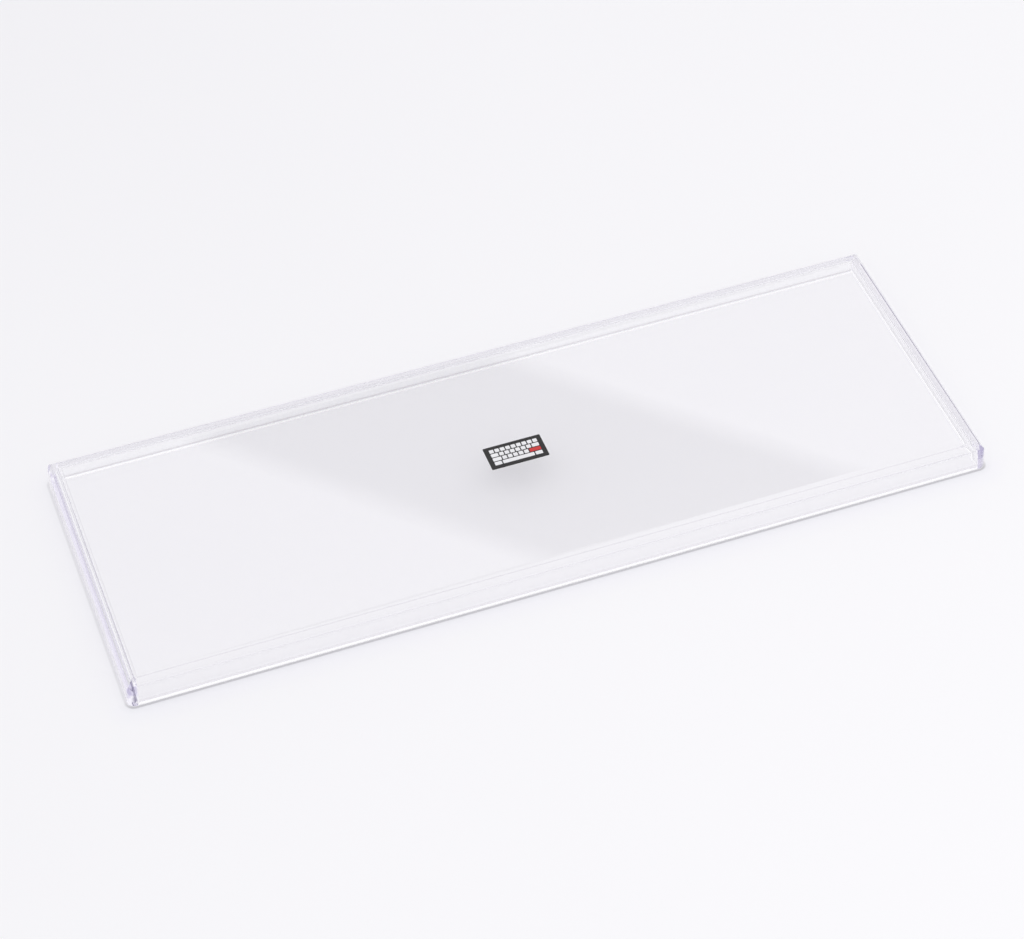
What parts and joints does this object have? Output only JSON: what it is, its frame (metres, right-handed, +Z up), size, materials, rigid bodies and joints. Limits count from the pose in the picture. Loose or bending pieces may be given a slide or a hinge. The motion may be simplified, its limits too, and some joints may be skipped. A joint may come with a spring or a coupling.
{
  "type": "keyboard dust cover",
  "caption": "Clear acrylic dust cover for a compact keyboard: a flat rectangular panel with four bent-down edges and a small printed badge in the middle.",
  "frame": {"origin": "middle of the footprint, on the surface that the rim stands on", "axes": "+X along the long side, -Y towards the person using the keyboard, +Z up out of the panel"},
  "size_m": [0.294, 0.104, 0.0108],
  "materials": {
    "clear_acrylic": "clear, polished",
    "black_film": "satin",
    "white_ink": "printed",
    "red_ink": "printed"
  },
  "bodies": {
    "root": {"cover": "clear_acrylic", "badge_film": "black_film", "badge_white_print": "white_ink", "badge_red_print": "red_ink"}
  },
  "joints": []
}
